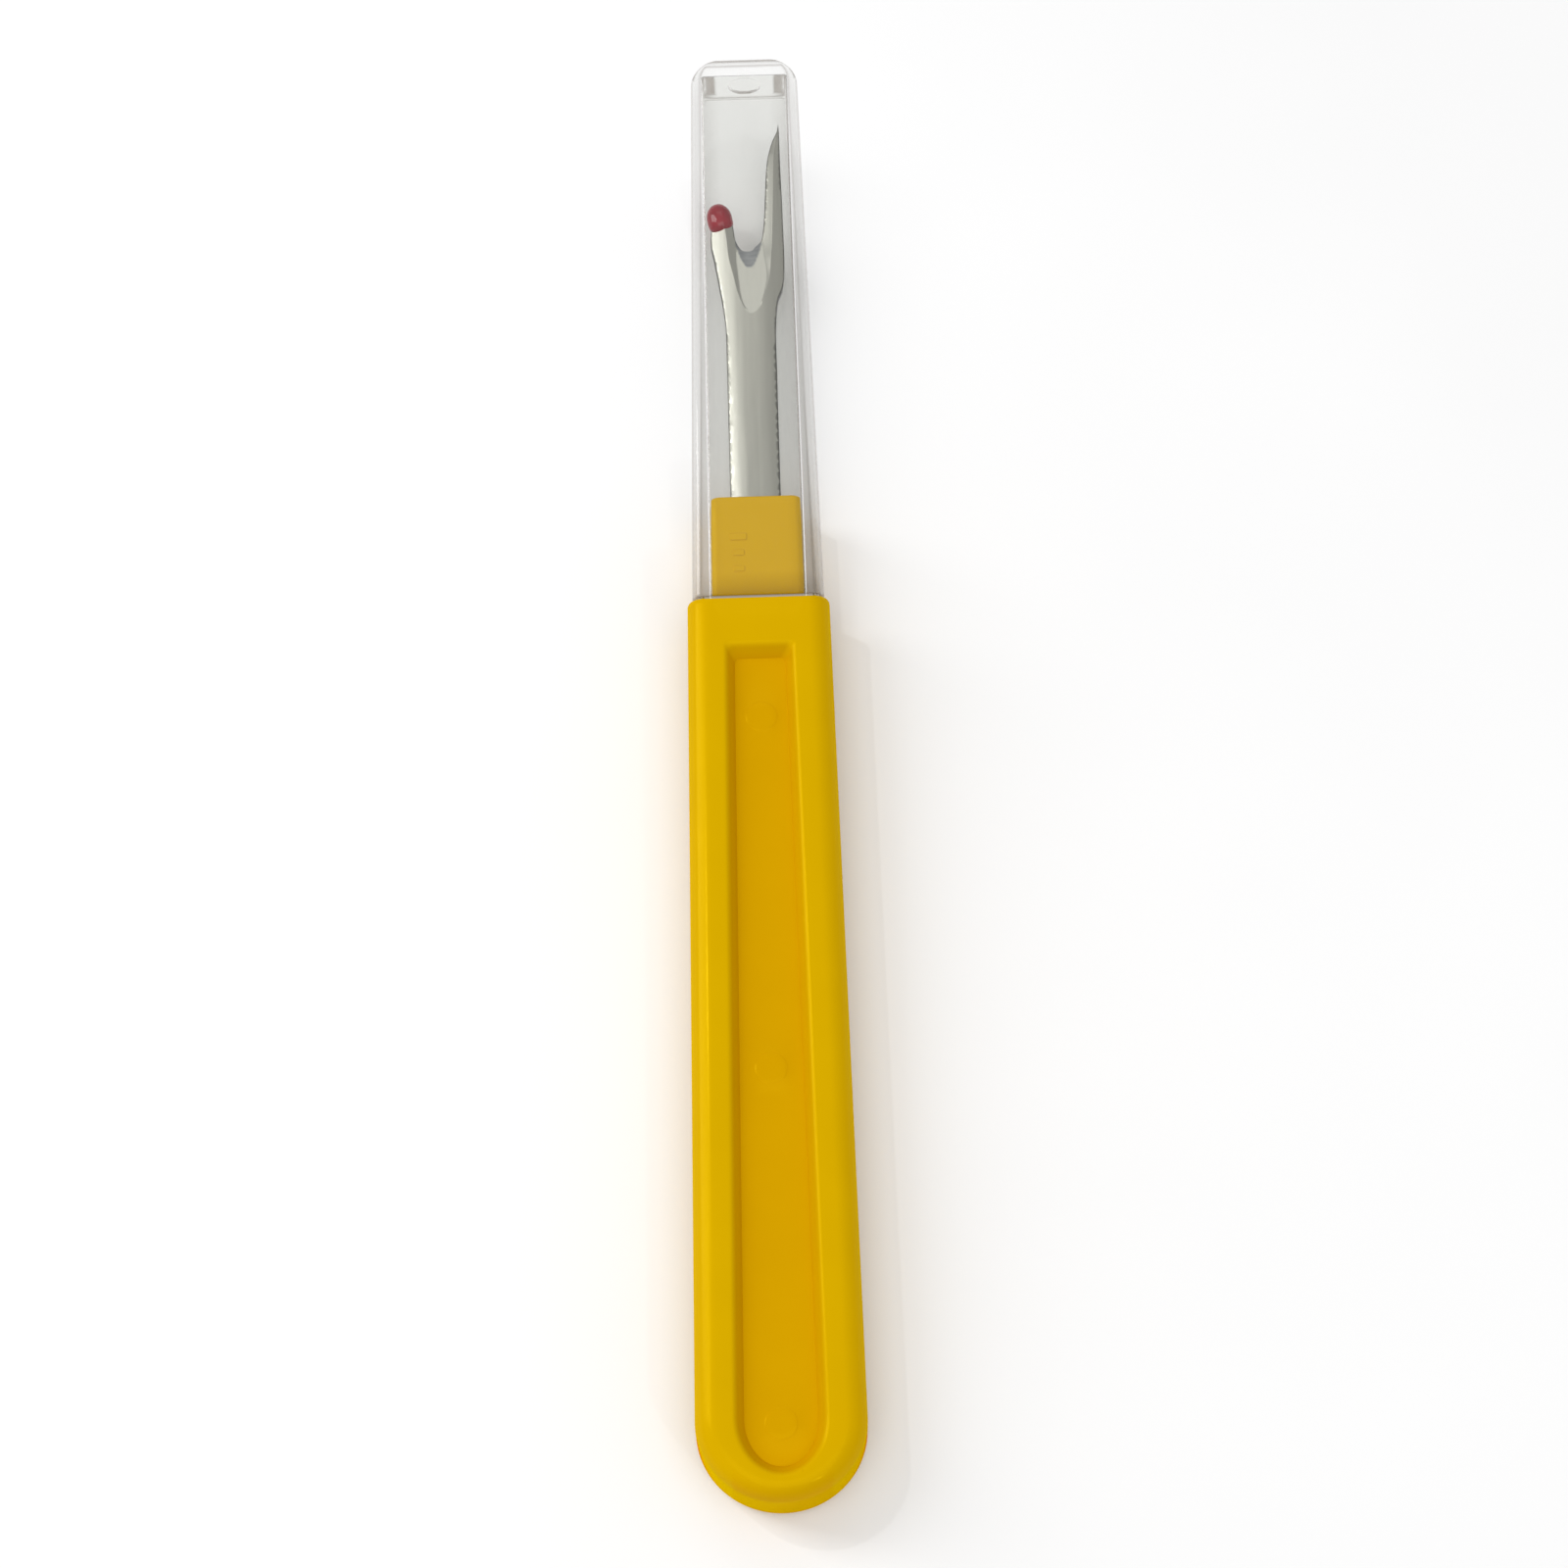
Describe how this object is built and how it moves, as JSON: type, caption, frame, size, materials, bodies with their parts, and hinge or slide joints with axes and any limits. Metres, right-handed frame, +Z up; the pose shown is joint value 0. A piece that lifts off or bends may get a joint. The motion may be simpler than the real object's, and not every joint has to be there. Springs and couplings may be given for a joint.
{
  "type": "seam ripper",
  "caption": "Flat tapered handle with a thumb recess, forked cutting blade with a guard bead on its short prong, and a clear pull-off cap.",
  "frame": {"origin": "on the surface the tool lies on, under the middle of its length", "axes": "+Y along the tool from the handle's butt to the cap's closed end, +Z up out of the front face, +X across towards the long prong"},
  "size_m": [0.015, 0.1396, 0.008],
  "materials": {
    "handle": "glossy moulded plastic",
    "blade": "stamped and ground steel",
    "safety_bead": "glossy dipped plastic",
    "cap": "clear polystyrene"
  },
  "bodies": {
    "ripper": {"handle": "handle", "blade": "blade", "safety_bead": "safety_bead"},
    "cap": {"cap": "cap"}
  },
  "joints": [
    {"name": "cap_slide", "type": "slide", "parent": "ripper", "child": "cap", "axis": [0, 1, 0], "range_m": [0, 0.055]}
  ]
}
